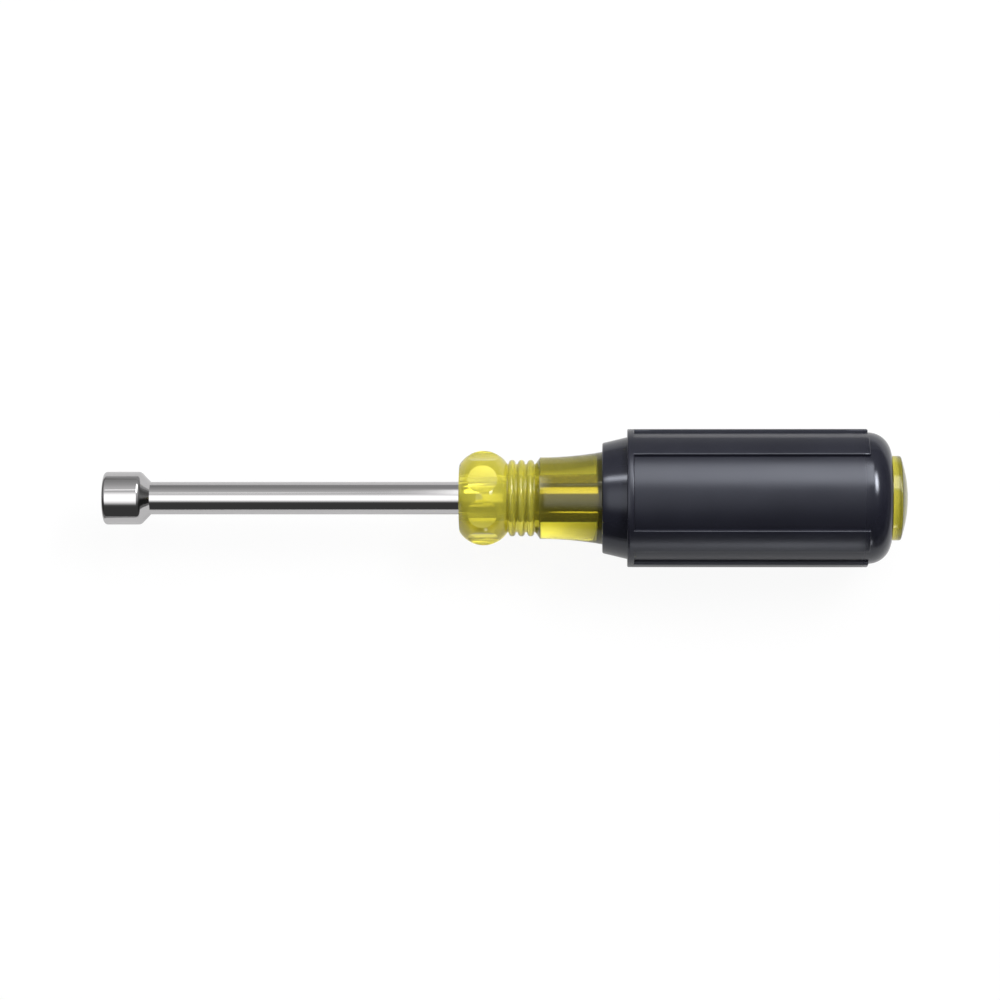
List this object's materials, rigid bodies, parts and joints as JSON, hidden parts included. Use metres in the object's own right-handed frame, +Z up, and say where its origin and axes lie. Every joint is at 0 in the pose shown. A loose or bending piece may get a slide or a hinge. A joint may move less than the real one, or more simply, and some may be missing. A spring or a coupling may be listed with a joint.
{
  "type": "nut driver",
  "caption": "Hollow-shaft nut driver: chrome-plated steel hex socket and shank, clear yellow fluted handle core and black cushion grip.",
  "frame": {"origin": "centre of the tool's length, on the surface that its flange ring rests on", "axes": "+X along the tool from the socket mouth to the butt, +Z up through the wide panel of the grip"},
  "size_m": [0.1714, 0.0294, 0.0294],
  "materials": {
    "plated_steel": "polished chrome plate",
    "clear_acetate": "clear yellow, polished",
    "soft_vinyl": "black satin"
  },
  "bodies": {
    "root": {"hollow_shaft": "plated_steel", "handle_core": "clear_acetate", "cushion_grip": "soft_vinyl"}
  },
  "joints": []
}
